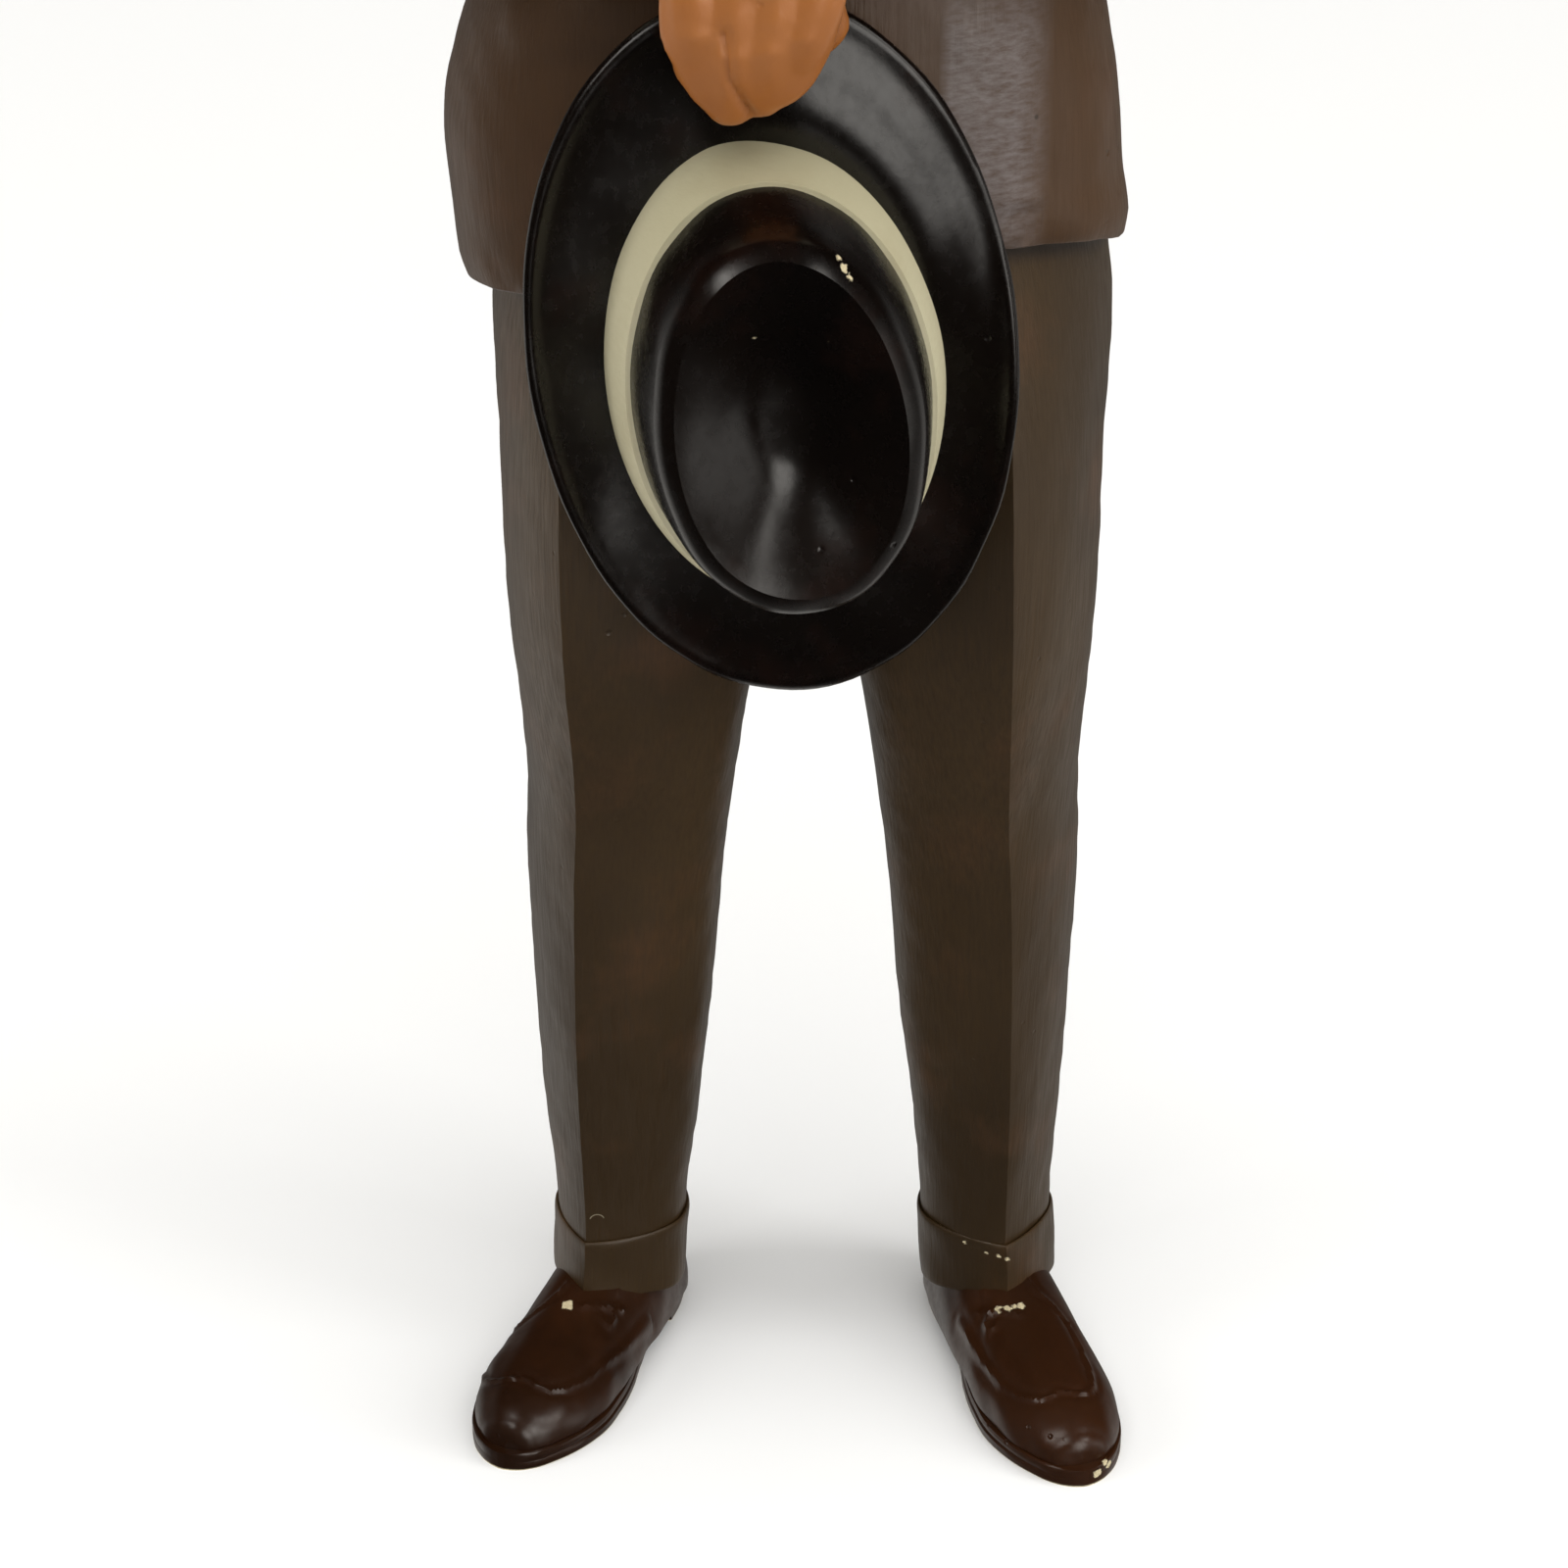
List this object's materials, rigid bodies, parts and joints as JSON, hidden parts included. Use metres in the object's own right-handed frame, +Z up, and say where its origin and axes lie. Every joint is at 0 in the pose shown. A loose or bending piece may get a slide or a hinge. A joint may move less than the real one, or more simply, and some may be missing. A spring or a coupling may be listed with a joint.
{
  "type": "advertising display figure",
  "caption": "Standing counter display figure of a gentleman in a suit holding his hat in front of him, cast in plaster and painted.",
  "frame": {"origin": "on the ground under the middle of the figure's bounding box", "axes": "+Z up, -Y the way the figure faces, +X its left-hand side"},
  "size_m": [0.135, 0.1124, 0.4593],
  "materials": {
    "painted_plaster": "satin paint on cast plaster"
  },
  "bodies": {
    "root": {"display_figure": "painted_plaster"}
  },
  "joints": []
}
